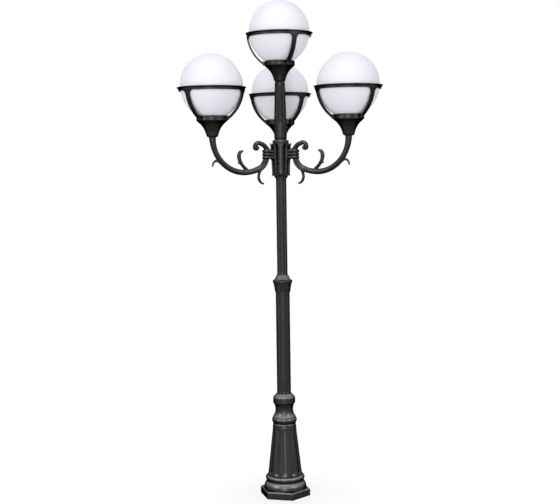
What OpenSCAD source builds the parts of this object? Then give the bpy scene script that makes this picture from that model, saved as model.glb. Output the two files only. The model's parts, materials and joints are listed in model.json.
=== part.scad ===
// Street lamp: a fluted post on a six-sided plinth, three scroll arms and four opal globes in cages.
// Millimetres, +Z up. The origin is on the post's axis at ground level, and the rear arm points to +Y.

/* [Plinth and foot] */
// Width of the six-sided plinth across its corners
plinth_d = 257; // [252:1:290]
// Height of the six-sided plinth
plinth_h = 36; // [30:1:44]
// Width of the bevel along the plinth's top edges
plinth_bevel = 4.5; // [3:0.5:5]
// Turn of a plinth corner from +X
plinth_turn = 46; // [0:1:59]
// Diameter of the circle through the anchor holes
anchor_circle_d = 232; // [230:0.5:236]
// Diameter of each anchor hole
anchor_hole_d = 9; // [6:0.5:10]
// Number of anchor holes, at corners of the plinth
anchor_count = 3; // [3, 6]
// Diameter of the bell where it stands on the plinth
bell_d = 212; // [206:1:216]
// Diameter of the groove between bell and round moulding
foot_groove_d = 186; // [182:1:192]
// Outer diameter of the round moulding on the foot
foot_ring_d = 196; // [192:1:204]
// Height of the foot's top face above ground
foot_h = 104; // [98:1:116]
// Width of the foot's open inside
foot_bore_d = 160; // [154:1:166]

/* [Pedestal and neck] */
// Diameter of the fluted pedestal at its bottom
pedestal_d = 172; // [168:1:178]
// Diameter of the fluted pedestal below its lip
pedestal_top_d = 115; // [112:1:120]
// Height of the pedestal with its lip
pedestal_h = 295; // [270:1:330]
// Height of the moulded lip on the pedestal
lip_h = 37; // [32:1:42]
// Outer diameter of the lip
lip_d = 125; // [122:1:130]
// Wall thickness of the pedestal
pedestal_wall = 8; // [7:0.5:10]
// Diameter of the neck's waist
waist_d = 89; // [86:1:94]
// Diameter of the band round the neck
neck_band_d = 111; // [106:1:118]
// Height of the neck
neck_h = 117; // [110:1:130]

/* [Poles] */
// Diameter of the lower pole
lower_pole_d = 70.5; // [66:0.5:71]
// Diameter of the upper pole
upper_pole_d = 52.5; // [48:0.5:53]
// Wall thickness of both poles
pole_wall = 5; // [4.5:0.5:6]
// Length of the lower pole that shows
lower_pole_show = 512; // [400:1:700]
// Length of the upper pole that shows
upper_pole_show = 480; // [400:1:700]
// Number of flutes round the pedestal, poles and stem
flute_count = 12; // [8:1:14]
// Depth of the flutes in the poles and stem
flute_depth = 1.6; // [1.5:0.1:2.6]
// Depth of the flutes in the pedestal
pedestal_flute_depth = 3.5; // [3:0.5:5]
// Diameter of the flange on the collar that joins the poles
collar_d = 97; // [92:1:104]
// Height of that collar
collar_h = 86; // [82:1:94]

/* [Hub and stem] */
// Diameter of the hub's round core
hub_d = 78; // [76:1:82]
// Height of the hub
hub_h = 178; // [174:1:190]
// Height of the arm seats above the hub's bottom
arm_seat_h = 117; // [112:1:122]
// Distance of the flat arm seats from the post's axis
arm_seat_r = 48; // [46:0.5:50]
// Height of the crown on the hub
crown_h = 77; // [72:1:90]
// Diameter of the crown and of the stem's bottom
crown_d = 63; // [60:0.5:66]
// Diameter of the stem's top
stem_top_d = 49.5; // [46:0.5:54]
// Height of the stem
stem_h = 217; // [190:1:260]

/* [Arms] */
// Distance of the arm lanterns from the post's axis
arm_reach = 375; // [360:1:400]
// Distance of an arm's lowest point from the post's axis
arm_low_r = 205; // [195:1:212]
// Diameter of an arm's tube
arm_d = 26; // [24:0.5:28]
// Radius of the arm's long middle bend
arm_mid_r = 200; // [190:1:210]
// Radius of the arm's tight bend next to the hub
arm_inner_r = 66; // [62:1:70]
// Turn of the arm's long middle bend
arm_mid_turn = 25; // [22:0.5:27]
// Thickness of the leaves cast on the arm
leaf_t = 12; // [8:0.5:16]

/* [Lantern] */
// Diameter of the opal globe
globe_d = 300; // [296:0.5:303]
// Wall thickness of the globe
globe_wall = 3; // [2:0.5:4]
// Height of the globe's centre above the cup's bottom
globe_h = 247; // [246:0.5:249]
// Outer diameter of the globe where it meets the cup's rim
globe_base_d = 140; // [130:1:144]
// Outer diameter of the globe's neck
globe_neck_d = 100; // [96:0.5:101]
// Diameter of the fitter cup's rim
cup_d = 150; // [146:0.5:153]
// Height of the fitter cup
cup_h = 100; // [99:0.5:102]
// Width of the cage ring's flange, from its bore
ring_flange = 13.5; // [12:0.5:18]
// Width of a cage rib
rib_w = 20; // [16:0.5:26]
// Thickness of a cage rib
rib_t = 9; // [7:0.5:10]
// Turn of the cage ribs on the top lantern
cage_turn_top = 59; // [0:1:119]
// Turn of the cage ribs on the rear lantern
cage_turn_rear = 78; // [0:1:119]
// Turn of the cage ribs on the left lantern
cage_turn_left = 106; // [0:1:119]
// Turn of the cage ribs on the right lantern
cage_turn_right = 75; // [0:1:119]

/* [Lamp and wiring] */
// Diameter of the lamp's bulb
bulb_d = 60; // [50:1:70]
// Diameter of the lampholder
holder_d = 42; // [38:1:46]
// Diameter of the lamp's screw cap
cap_d = 26.4; // [26:0.1:26.6]
// Diameter of the threaded tube that joins cup and arm
nipple_d = 10; // [9.6:0.1:10.4]
// Diameter of a lamp lead
lead_d = 6; // [4:0.5:6.2]
// Diameter of the cable in the post
riser_d = 10; // [8:0.5:12]

/* [Fits] */
// Gap per side between post sections that slide together
slip_gap = 0.15; // [0.1:0.05:0.25]
// Gap per side between a screw or tube and its hole
screw_gap = 0.1; // [0.05:0.05:0.2]
// Gap per side round pieces that turn or lift out
free_gap = 0.5; // [0.4:0.05:0.6]

/* [Hidden] */
$fn = 96;

paint = "#2b2b2d";
opal = "#f4f3f6";
steel = "#9a9a9a";
brass = "#b79a55";
porcelain = "#e9e7e0";
rubber = "#202020";

// Directions of the three arms, and the lanterns' numbers
rear_dir = 90;
left_dir = 210;
right_dir = 330;
arm_dirs = [rear_dir, left_dir, right_dir];
front_dir = 270;
top = 0;
rear = 1;
left = 2;
right = 3;
lanterns = [top, rear, left, right];
cage_turns = [cage_turn_top, cage_turn_rear, cage_turn_left, cage_turn_right];
thirds = [0, 120, 240];
cut = 1;

// Heights of the sections above ground
pedestal_z = foot_h;
neck_z = pedestal_z + pedestal_h;
neck_socket = 84;
collar_z = neck_z + neck_h + lower_pole_show;
collar_low_socket = 38;
collar_web = 8;
collar_top_socket = collar_h - collar_low_socket - collar_web;
hub_z = collar_z + collar_h + upper_pole_show;
hub_socket = 46;
hub_floor = 14;
seat_z = hub_z + arm_seat_h;
crown_z = hub_z + hub_h;
stem_z = crown_z + crown_h;
stem_top_z = stem_z + stem_h;

// Foot and pedestal
foot_flange_t = 14;
foot_flange_bore_r = 60;
web_t = 12;
web_boss_h = 8;
cable_hole_r = 12;
base_screw_d = 8;
base_screw_head_d = 13;
base_screw_head_h = 8;
base_screw_depth = 9;
base_screw_circle_r = (foot_flange_bore_r + foot_bore_d / 2) / 2;
neck_bore_r = waist_d / 2 - 0.5;
neck_spigot_h = 28;
cone_h = pedestal_h - lip_h;
terminal_size = [44, 30, 32];

// Set screws that lock the sections, and how far they lie from the ends of their sections
set_screw_d = 6;
set_key_d = 3.4;
set_key_depth = 4;
lip_screw_z = cone_h + 3;
neck_screw_z = neck_h - 33;
collar_screw_z = collar_h - 16;
stem_screw_z = stem_h - 10;

// Hub
hub_cavity_flat_r = 28;
arm_spigot_d = 16;
arm_nut_flat = 24;
arm_nut_h = 8;
junction_flat_r = 12;
junction_h = 80;
cavity_z = hub_z + hub_socket + hub_floor;
crown_spigot_h = 14;
stem_spigot_d = 44;
stem_spigot_h = 20;
stem_plate_h = 34;

// Arm bends: the lowest point's height follows from the bends between it and the root
wire_bore_r = 4.2;
elbow_r = 8;
mid_end = -90 - arm_mid_turn;
mid_out = [cos(mid_end), sin(mid_end)];
arm_drop = arm_mid_r + (arm_mid_r - arm_inner_r) * mid_out[1] + elbow_r;
arm_outer_r = arm_reach - arm_low_r;
low_point = [arm_low_r, -arm_drop];
outer_centre = low_point + [0, arm_outer_r];
mid_centre = low_point + [0, arm_mid_r];
mid_point = mid_centre + arm_mid_r * mid_out;
inner_centre = mid_point - arm_inner_r * mid_out;
inner_point = inner_centre - [arm_inner_r, 0];
elbow_centre = inner_point - [elbow_r, 0];
elbow_end = elbow_centre + [0, elbow_r];
arm_tip_z = seat_z + outer_centre[1];
barrel_x = 79;
barrel_h = 47;
tongue_w = 28;
tongue_h = 36;

// Bends meet in a ball that is a little thicker than the bar, and stop short of the ball's centre
knuckle_swell = 1.04;
knuckle_share = 0.1;

// Lantern: heights are above the cup's bottom
floor_h = 25;
gallery_h = 71;
gasket_t = 4;
gasket_rim_h = 19;
gasket_rim_t = 4;
gasket_lap = 6;
gallery_r = globe_neck_d / 2 + free_gap + gasket_rim_t;
nut_flat = 17;
nut_h = 6;
holder_h = 34;
holder_top = 86;
holder_seat = 57;
holder_thread_h = 10;
wire_room_h = 6;
nipple_depth = 16;
nipple_wall = 1.1;
bulb_h = 140;
bulb_neck_h = holder_top + 2;
contact_d = 10;
contact_h = 4;
ring_h = globe_h - 11;
ring_bore_r = globe_d / 2 + 1.5;
ring_band_t = 6;
ring_band_h = 18;
rib_top = [globe_d / 2 + 2, globe_h - 8];
rib_foot = [cup_d / 2 + 2.3, cup_h - 8];
rib_inner_r = lean_radius(rib_top, rib_foot);
rib_centre = rib_top - [rib_inner_r, 0];
globe_base = [globe_base_d / 2, cup_h + 1.5];
gusset_r = 22;
foot_pad_h = 20;
foot_pad_t = 7;
cage_screw_d = 5;
cage_screw_z = cup_h - 11;
cage_screw_l = 20;
cage_head_d = 9;
cage_head_h = 2.8;

// Radius of the arc from a to b that rises by the given amount, and the direction to the right of a-b
function arc_radius(a, b, rise) = (norm(b - a) * norm(b - a) / 4 + rise * rise) / (2 * rise);
// Radius of the arc that runs straight down from a and then leans inwards to b
function lean_radius(a, b) = (pow(a[0] - b[0], 2) + pow(a[1] - b[1], 2)) / (2 * (a[0] - b[0]));
function right_of(a, b) = [b[1] - a[1], a[0] - b[0]] / norm(b - a);
function arm_dir(i) = arm_dirs[i - 1];
function between(a, b, share) = a + (b - a) * share;
function lantern_place(i) =
    i == top ? [0, 0, stem_top_z] : [arm_reach * cos(arm_dir(i)), arm_reach * sin(arm_dir(i)), arm_tip_z];

// Piece of a disc on the right of the line from a to b
module bulge(a, b, rise) {
    r = arc_radius(a, b, rise);
    out = right_of(a, b);
    intersection() {
        translate((a + b) / 2 - out * (r - rise)) circle(r);
        polygon([a, b, b + out * rise * 1.5, a + out * rise * 1.5]);
    }
}

// Pointed sickle on the right of the line from a to b
module sickle(a, b, rise, thickness) {
    difference() {
        bulge(a, b, rise);
        bulge(a, b, rise - thickness);
    }
}

module at_arm(dir) rotate([0, 0, dir]) translate([0, 0, seat_z]) children();

module at_lantern(i) translate(lantern_place(i)) children();

// Round bar bent in the XZ plane about a centre, between two angles measured from +X towards +Z
module bend(centre, r, from, to, bar_r) {
    translate([centre[0], 0, centre[1]])
        rotate([90, 0, 0])
            rotate([0, 0, min(from, to)])
                rotate_extrude(angle = abs(to - from)) translate([r, 0]) circle(bar_r);
}

// Round straight bar in the XZ plane from a to b
module bar(a, b, bar_r) {
    translate([a[0], 0, a[1]])
        rotate([0, atan2(b[0] - a[0], b[1] - a[1]), 0]) cylinder(r = bar_r, h = norm(b - a));
}

function stop_short(bend_r, bar_r) = asin(knuckle_share * bar_r / bend_r);

// Ball in the XZ plane in which two bends meet
module knuckle(place, bar_r) translate([place[0], 0, place[1]]) sphere(bar_r * knuckle_swell);

// The run of an arm from its tip to its root
module arm_run(bar_r) {
    outer_stop = stop_short(arm_outer_r, bar_r);
    mid_stop = stop_short(arm_mid_r, bar_r);
    inner_stop = stop_short(arm_inner_r, bar_r);
    bend(outer_centre, arm_outer_r, -90 + outer_stop, 0, bar_r);
    knuckle(low_point, bar_r);
    bend(mid_centre, arm_mid_r, mid_end + mid_stop, -90 - mid_stop, bar_r);
    knuckle(mid_point, bar_r);
    bend(inner_centre, arm_inner_r, -180 + inner_stop, mid_end - inner_stop, bar_r);
}

// The wire's way along an arm, round the elbow in its root and towards the post's axis
module wire_run(bar_r, end_x) {
    elbow_stop = stop_short(elbow_r, bar_r);
    arm_run(bar_r);
    knuckle(inner_point, bar_r);
    bend(elbow_centre, elbow_r, elbow_stop, 90 - elbow_stop, bar_r);
    knuckle(elbow_end, bar_r);
    spoke(end_x, elbow_end[0] - knuckle_share * bar_r, bar_r);
}

// Bar along +X between two distances from the post's axis
module spoke(from, to, bar_r) translate([from, 0, 0]) rotate([0, 90, 0]) cylinder(r = bar_r, h = to - from);

// Hexagonal prism with a flat towards +X
module hex_prism(flat_r, h) rotate([0, 0, 30]) cylinder(r = flat_r / cos(30), h = h, $fn = 6);

// Round-ended tapered cutters round the axis that carve flutes into a cone
module flutes(z0, z1, r0, r1, cut0, cut1, depth) {
    tilt = atan((r0 - r1) / (z1 - z0));
    run = (z1 - z0) / cos(tilt);
    for (i = [0 : flute_count - 1])
        rotate([0, 0, front_dir + i * 360 / flute_count])
            translate([r0 + cut0 - depth, 0, z0])
                rotate([0, -tilt - atan((cut0 - cut1) / run), 0])
                    rotate_extrude() intersection() {
                        union() {
                            circle(cut0);
                            translate([0, run]) circle(cut1);
                            polygon([[0, 0], [cut0, 0], [cut1, run], [0, run]]);
                        }
                        translate([0, -cut0]) square([cut0, run + cut0 + cut1]);
                    }
}

// Six-sided plinth with bevelled top edges
module plinth() rotate([0, 0, plinth_turn]) {
    flat_r = plinth_d / 2 * cos(30);
    bevel_side = plinth_bevel * sqrt(2);
    difference() {
        cylinder(d = plinth_d, h = plinth_h, $fn = 6);
        for (a = [30 : 60 : 330])
            rotate([0, 0, a]) translate([flat_r, 0, plinth_h])
                rotate([0, 45, 0]) cube([bevel_side, plinth_d, bevel_side], center = true);
    }
}

module foot() color(paint) {
    bell_r = bell_d / 2;
    bell_h = 37;
    bell_rise = 4.5;
    groove_r = foot_groove_d / 2;
    groove_h = 3;
    groove_z = plinth_h + bell_h;
    ring_r = (foot_h - groove_z - groove_h) / 2;
    ring_x = foot_ring_d / 2 - ring_r;
    difference() {
        union() {
            plinth();
            rotate_extrude() {
                polygon([[0, 0], [bell_r, 0], [bell_r, plinth_h], [groove_r, groove_z],
                         [groove_r, foot_h - ring_r], [ring_x, foot_h], [0, foot_h]]);
                bulge([bell_r, plinth_h], [groove_r, groove_z], bell_rise);
                translate([ring_x, foot_h - ring_r]) circle(ring_r);
            }
        }
        translate([0, 0, -cut]) cylinder(d = foot_bore_d, h = foot_h - foot_flange_t + cut);
        cylinder(r = foot_flange_bore_r, h = foot_h + cut);
        for (i = [0 : anchor_count - 1])
            rotate([0, 0, plinth_turn + i * 360 / anchor_count])
                translate([anchor_circle_d / 2, 0, -cut]) cylinder(d = anchor_hole_d, h = plinth_h + 2 * cut);
        for (a = thirds)
            rotate([0, 0, a]) translate([base_screw_circle_r, 0, foot_h - foot_flange_t - cut])
                cylinder(d = base_screw_d + 2 * screw_gap, h = foot_flange_t + 2 * cut);
    }
}

module base_screws() color(steel) {
    for (a = thirds)
        rotate([0, 0, a]) translate([base_screw_circle_r, 0, foot_h - foot_flange_t - base_screw_head_h]) {
            cylinder(d = base_screw_d, h = base_screw_head_h + foot_flange_t + base_screw_depth);
            cylinder(d = base_screw_head_d, h = base_screw_head_h);
        }
}

module pedestal() color(paint) translate([0, 0, pedestal_z]) {
    bottom_r = pedestal_d / 2;
    top_r = pedestal_top_d / 2;
    lip_swell = 3.5;
    lip_r = lip_d / 2 - lip_swell;
    lip_groove = [top_r - 1.5, cone_h + 3];
    lip_low = [lip_r, cone_h + 10];
    lip_high = [lip_r, pedestal_h - 6];
    inner_low = [bottom_r - pedestal_wall - 1, web_t];
    inner_high = [top_r - pedestal_wall, cone_h - 16];
    bore_start = [neck_bore_r, cone_h - 8];
    boss_r = foot_flange_bore_r - slip_gap;
    flute_low_z = 26;
    flute_high_z = cone_h - 26;
    flute_low_r = 36;
    flute_high_r = 26;
    difference() {
        rotate_extrude() difference() {
            union() {
                polygon([[0, -web_boss_h], [boss_r, -web_boss_h], [boss_r, 0], [bottom_r, 0], [top_r, cone_h],
                         lip_groove, lip_low, lip_high, [top_r, pedestal_h], [0, pedestal_h]]);
                bulge(lip_low, lip_high, lip_swell);
            }
            polygon([[0, web_t], inner_low, inner_high, bore_start, [neck_bore_r, pedestal_h + cut],
                     [0, pedestal_h + cut]]);
        }
        translate([0, 0, -web_boss_h - cut]) cylinder(r = cable_hole_r, h = web_boss_h + web_t + 2 * cut);
        flutes(flute_low_z, flute_high_z, between(bottom_r, top_r, flute_low_z / cone_h),
               between(bottom_r, top_r, flute_high_z / cone_h),
               flute_low_r, flute_high_r, pedestal_flute_depth);
        for (a = thirds) {
            rotate([0, 0, a]) translate([base_screw_circle_r, 0, -cut])
                cylinder(d = base_screw_d + 2 * screw_gap, h = base_screw_depth + cut);
            rotate([0, 0, front_dir + a]) translate([0, 0, lip_screw_z])
                spoke(neck_bore_r - cut, lip_d, set_screw_d / 2 + screw_gap);
        }
    }
}

module supply_terminal() color(porcelain)
    translate([-terminal_size[0] / 2, -terminal_size[1] / 2, pedestal_z + web_t]) cube(terminal_size);

module neck() color(paint) translate([0, 0, neck_z]) {
    seat_r = pedestal_top_d / 2;
    spigot_r = neck_bore_r - slip_gap;
    waist_r = waist_d / 2;
    band_r = neck_band_d / 2;
    pole_r = lower_pole_d / 2;
    waist_low = [waist_r, 32];
    waist_high = [waist_r, 42];
    band_low = [band_r, neck_h - 45];
    band_high = [band_r, neck_h - 22];
    rim = [pole_r + 9, neck_h - 8];
    mouth_r = pole_r + 4;
    foot_hollow = 2.3;
    waist_hollow = 2.2;
    shoulder_rise = 2.5;
    difference() {
        rotate_extrude() difference() {
            union() {
                polygon([[0, -neck_spigot_h], [spigot_r, -neck_spigot_h], [spigot_r, 0], [seat_r, 0],
                         waist_low, waist_high, band_low, band_high, rim, [mouth_r, neck_h], [0, neck_h]]);
                bulge(band_high, rim, shoulder_rise);
            }
            bulge(waist_low, [seat_r, 0], foot_hollow);
            bulge(band_low, waist_high, waist_hollow);
        }
        translate([0, 0, -neck_spigot_h - cut]) cylinder(r = pole_r - pole_wall, h = neck_h + neck_spigot_h);
        translate([0, 0, neck_h - neck_socket]) cylinder(r = pole_r + slip_gap, h = neck_socket + cut);
        for (a = thirds)
            rotate([0, 0, front_dir + a]) translate([0, 0, neck_screw_z])
                spoke(pole_r - cut, neck_band_d, set_screw_d / 2 + screw_gap);
    }
}

// Fluted tube between two heights, whose flutes end away from the sections next to it
module fluted_pole(d, from, to, show_from, show_to) {
    flute_r = d / 8;
    plain_end = 12;
    difference() {
        translate([0, 0, from]) cylinder(d = d, h = to - from);
        translate([0, 0, from - cut]) cylinder(d = d - 2 * pole_wall, h = to - from + 2 * cut);
        flutes(show_from + plain_end, show_to - plain_end, d / 2, d / 2, flute_r, flute_r, flute_depth);
    }
}

module lower_pole() color(paint)
    fluted_pole(lower_pole_d, neck_z + neck_h - neck_socket, collar_z + collar_low_socket,
                neck_z + neck_h, collar_z);

module upper_pole() color(paint)
    fluted_pole(upper_pole_d, collar_z + collar_h - collar_top_socket, hub_z + hub_socket,
                collar_z + collar_h, hub_z);

module pole_collar() color(paint) translate([0, 0, collar_z]) {
    low_r = lower_pole_d / 2;
    up_r = upper_pole_d / 2;
    flange_r = collar_d / 2;
    flange_low = collar_h - 37;
    flange_high = collar_h - 27;
    mouth = [low_r + 2.5, 0];
    low_groove = [low_r + 6.5, 24];
    high_groove = [flange_r - 3.5, flange_low - 8];
    shoulder = [flange_r - 9, flange_high + 4];
    top_edge = [up_r + 2, collar_h];
    groove_r = 1.8;
    difference() {
        rotate_extrude() difference() {
            polygon([[0, 0], mouth, low_groove, high_groove, [flange_r, flange_low], [flange_r, flange_high],
                     shoulder, top_edge, [0, collar_h]]);
            translate(low_groove) circle(groove_r);
            translate(high_groove) circle(groove_r);
        }
        translate([0, 0, -cut]) cylinder(r = low_r + slip_gap, h = collar_low_socket + cut);
        cylinder(r = up_r - pole_wall, h = collar_h);
        translate([0, 0, collar_low_socket + collar_web]) cylinder(r = up_r + slip_gap, h = collar_h);
        for (a = thirds)
            rotate([0, 0, front_dir + a]) translate([0, 0, collar_screw_z])
                spoke(up_r - cut, flange_r, set_screw_d / 2 + screw_gap);
    }
}

// Pointed half-round rib with a leaf tip at each end, which lean outwards
module hub_leaf() {
    rib_r = 11;
    rib_low = 34;
    rib_high = hub_h - 16;
    tip_r = 9;
    point_r = 1.5;
    tip_h = 29;
    tip_sink = 6;
    lean = 13;
    translate([0, 0, rib_low]) cylinder(r = rib_r, h = rib_high - rib_low);
    translate([0, 0, rib_high - tip_sink]) rotate([0, lean, 0])
        cylinder(r1 = tip_r, r2 = point_r, h = tip_h);
    translate([0, 0, rib_low + tip_sink]) rotate([0, 180 - lean, 0])
        cylinder(r1 = tip_r, r2 = point_r, h = tip_h);
}

module hub() color(paint) translate([0, 0, hub_z]) {
    core_r = hub_d / 2;
    pole_r = upper_pole_d / 2;
    mouth_r = pole_r + 6;
    mouth_h = 5;
    skirt = [core_r + 6, 15];
    skirt_top = [core_r - 2, 38];
    core_low = [core_r, 60];
    core_high = [core_r, hub_h - 24];
    flare = [core_r + 5, hub_h - 6];
    rim = [core_r + 3, hub_h];
    leaf_x = core_r + 3;
    seat_margin = 5;
    seat_w = tongue_w + 2 * seat_margin;
    seat_h = tongue_h + 2 * seat_margin;
    cable_room = 3;
    difference() {
        union() {
            rotate_extrude()
                polygon([[0, 0], [mouth_r, 0], [mouth_r, mouth_h], skirt, skirt_top, core_low, core_high,
                         flare, rim, [0, hub_h]]);
            for (dir = arm_dirs) {
                rotate([0, 0, dir]) translate([0, -seat_w / 2, arm_seat_h - seat_h / 2])
                    cube([arm_seat_r, seat_w, seat_h]);
                rotate([0, 0, dir + 180]) translate([leaf_x, 0, 0]) hub_leaf();
            }
        }
        translate([0, 0, -cut]) cylinder(r = pole_r + slip_gap, h = hub_socket + cut);
        cylinder(r = riser_d / 2 + cable_room, h = hub_h);
        translate([0, 0, hub_socket + hub_floor])
            rotate([0, 0, rear_dir]) hex_prism(hub_cavity_flat_r, hub_h);
        for (dir = arm_dirs)
            rotate([0, 0, dir]) translate([0, 0, arm_seat_h])
                spoke(0, arm_seat_r + cut, arm_spigot_d / 2 + screw_gap);
    }
}

module arm_nuts() color(steel) {
    for (dir = arm_dirs)
        at_arm(dir) difference() {
            translate([hub_cavity_flat_r - arm_nut_h, 0, 0]) rotate([0, 90, 0])
                hex_prism(arm_nut_flat / 2, arm_nut_h);
            spoke(0, arm_seat_r, arm_spigot_d / 2 + screw_gap);
        }
}

module junction_block() color(porcelain)
    translate([0, 0, cavity_z]) rotate([0, 0, rear_dir]) hex_prism(junction_flat_r, junction_h);

module crown() color(paint) translate([0, 0, crown_z]) {
    dome = [hub_d / 2 + 3, 0];
    sleeve_r = crown_d / 2;
    waist_r = sleeve_r - 2;
    waist_low = [waist_r, 10];
    waist_high = [waist_r, 15];
    sleeve_low = [sleeve_r, 21];
    dome_rise = 3;
    spigot_r = hub_cavity_flat_r - slip_gap;
    lead_room_r = wire_bore_r + 6;
    difference() {
        rotate_extrude() {
            polygon([[0, -crown_spigot_h], [spigot_r, -crown_spigot_h], [spigot_r, 0], dome, waist_low,
                     waist_high, sleeve_low, [sleeve_r, crown_h], [0, crown_h]]);
            bulge(dome, waist_low, dome_rise);
        }
        translate([0, 0, -crown_spigot_h - cut])
            cylinder(r = lead_room_r, h = crown_h + crown_spigot_h + cut);
        translate([0, 0, crown_h - stem_spigot_h])
            cylinder(d = stem_spigot_d + 2 * slip_gap, h = stem_spigot_h + cut);
    }
}

module stem() color(paint) translate([0, 0, stem_z]) {
    low_r = crown_d / 2;
    high_r = stem_top_d / 2;
    shoulder = [high_r, stem_h - 5];
    edge = [high_r - 4, stem_h];
    edge_rise = 1.2;
    spigot_r = stem_spigot_d / 2;
    core_r = 16;
    flute_low_z = 16;
    flute_high_z = stem_h - 22;
    flute_low_r = 7;
    flute_high_r = 5.5;
    difference() {
        rotate_extrude() {
            polygon([[0, -stem_spigot_h], [spigot_r, -stem_spigot_h], [spigot_r, 0], [low_r, 0], shoulder,
                     edge, [0, stem_h]]);
            bulge(shoulder, edge, edge_rise);
        }
        translate([0, 0, -stem_spigot_h - cut])
            cylinder(r = core_r, h = stem_spigot_h + stem_h - stem_plate_h);
        cylinder(r = wire_bore_r, h = stem_h + cut);
        translate([0, 0, stem_h - nipple_depth])
            cylinder(d = nipple_d + 2 * screw_gap, h = nipple_depth + cut);
        flutes(flute_low_z, flute_high_z, between(low_r, high_r, flute_low_z / shoulder[1]),
               between(low_r, high_r, flute_high_z / shoulder[1]), flute_low_r, flute_high_r, flute_depth);
        rotate([0, 0, front_dir]) translate([0, 0, stem_screw_z])
            spoke(0, low_r, set_screw_d / 2 + screw_gap);
    }
}

// Set screw with a hexagonal key socket, pointing to the axis
module set_screw(dir, z, from, to) {
    rotate([0, 0, dir]) translate([0, 0, z]) difference() {
        spoke(from, to, set_screw_d / 2);
        translate([to - set_key_depth, 0, 0]) rotate([0, 90, 0])
            hex_prism(set_key_d / 2, set_key_depth + cut);
    }
}

module section_screws() color(steel) {
    collar_screw_l = 8;
    sink = 1;
    for (a = thirds) {
        set_screw(front_dir + a, pedestal_z + lip_screw_z, neck_bore_r, pedestal_top_d / 2 - 3 * sink);
        set_screw(front_dir + a, neck_z + neck_screw_z, lower_pole_d / 2 + slip_gap, neck_band_d / 2 - sink);
        set_screw(front_dir + a, collar_z + collar_screw_z, upper_pole_d / 2 + slip_gap,
                  upper_pole_d / 2 + collar_screw_l);
    }
    set_screw(front_dir, stem_z + stem_screw_z, nipple_d / 2 + screw_gap, stem_top_d / 2 - sink);
}

module riser_cable() color(rubber) {
    from = pedestal_z + web_t + terminal_size[2];
    translate([0, 0, from]) cylinder(d = riser_d, h = cavity_z - from);
}

// Scroll, leaves and thorns of an arm lie in its own plane; places are measured from the arm seat
module arm_ornaments() {
    link = 3;
    scroll_r = 45;
    scroll_bar_r = 9.5;
    scroll_start = [barrel_x + 2, 12];
    scroll_centre = scroll_start + [scroll_r, 0];
    scroll_end = scroll_centre + [0, scroll_r];
    curl_r = 27;
    curl_bar_r = 8.5;
    curl_centre = scroll_end + [link, -curl_r];
    curl_end = curl_centre + [curl_r, 0];
    eye_r = 13;
    eye_bar_r = 7;
    eye_centre = curl_end - [eye_r, link];
    eye_ball_r = 8;
    eye_ball = eye_centre + [1 - eye_r, 2];
    leaf = [low_point + [-20, -6], low_point + [5, 104]];
    leaf_notch = [low_point + [20, 66], low_point + [28, 46], low_point + [12, 56]];
    tendril = [mid_point + [-20, -72], mid_point + [-6, 4]];
    thorn_at = -45;
    thorn_root = outer_centre + arm_outer_r * [cos(thorn_at), sin(thorn_at)];
    thorn = [thorn_root + [47, -18], thorn_root + [4, -3]];
    bend(scroll_centre, scroll_r, 90, 180, scroll_bar_r);
    bar(scroll_end, scroll_end + [link, 0], (scroll_bar_r + curl_bar_r) / 2);
    bend(curl_centre, curl_r, 0, 90, curl_bar_r);
    bar(curl_end, curl_end - [0, link], (curl_bar_r + eye_bar_r) / 2);
    bend(eye_centre, eye_r, -180, 0, eye_bar_r);
    translate([eye_ball[0], 0, eye_ball[1]]) sphere(eye_ball_r);
    rotate([90, 0, 0]) translate([0, 0, -leaf_t / 2]) linear_extrude(leaf_t) {
        sickle(leaf[0], leaf[1], 32, 17);
        polygon(leaf_notch);
        sickle(tendril[0], tendril[1], 23, 13);
        sickle(thorn[0], thorn[1], 19, 11);
    }
}

module arm(dir) color(paint) at_arm(dir) {
    bead_r = 8;
    barrel_r = 23;
    bead_x = barrel_r - bead_r;
    bead_pitch = (barrel_h - 2 * bead_r) / 2;
    core_r = bead_x + 4;
    block_gap = 4;
    difference() {
        union() {
            arm_run(arm_d / 2);
            translate([barrel_x, 0, 0]) rotate_extrude() intersection() {
                union() {
                    translate([0, -barrel_h / 2]) square([core_r, barrel_h]);
                    for (i = [-1, 0, 1]) translate([bead_x, i * bead_pitch]) circle(bead_r);
                }
                translate([0, -barrel_h / 2]) square([barrel_r, barrel_h]);
            }
            translate([arm_seat_r, -tongue_w / 2, -tongue_h / 2])
                cube([barrel_x - arm_seat_r, tongue_w, tongue_h]);
            spoke(junction_flat_r + block_gap, barrel_x, arm_spigot_d / 2);
            arm_ornaments();
        }
        wire_run(wire_bore_r, 0);
        translate([arm_reach, 0, outer_centre[1] - nipple_depth])
            cylinder(d = nipple_d + 2 * screw_gap, h = nipple_depth + cut);
    }
}

module cup(i) color(paint) at_lantern(i) {
    rim_r = cup_d / 2;
    base_r = 21;
    base_edge = [26, 3];
    flare_low = [29, 9];
    flare_high = [rim_r - 5, cup_h - 26];
    flare_hollow = 7.4;
    rim_low = [rim_r, cup_h - 21];
    rim_bevel = 3;
    wiring = [40, 46];
    nut_room_r = 27;
    difference() {
        rotate_extrude() difference() {
            polygon([[0, 0], [base_r, 0], base_edge, flare_low, flare_high, rim_low,
                     [rim_r, cup_h - rim_bevel], [rim_r - rim_bevel, cup_h], [0, cup_h]]);
            bulge(flare_high, flare_low, flare_hollow);
        }
        translate([0, 0, gallery_h]) cylinder(r = gallery_r + slip_gap, h = cup_h);
        translate([0, 0, wiring[1]]) cylinder(r = wiring[0], h = cup_h);
        translate([0, 0, floor_h]) cylinder(r = nut_room_r, h = cup_h);
        translate([0, 0, -cut]) cylinder(d = nipple_d + 2 * screw_gap, h = floor_h + 2 * cut);
        for (a = thirds)
            rotate([0, 0, cage_turns[i] + a]) translate([0, 0, cage_screw_z])
                spoke(gallery_r + 2 * cut, rim_r + cut, cage_screw_d / 2 + screw_gap);
    }
}

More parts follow.
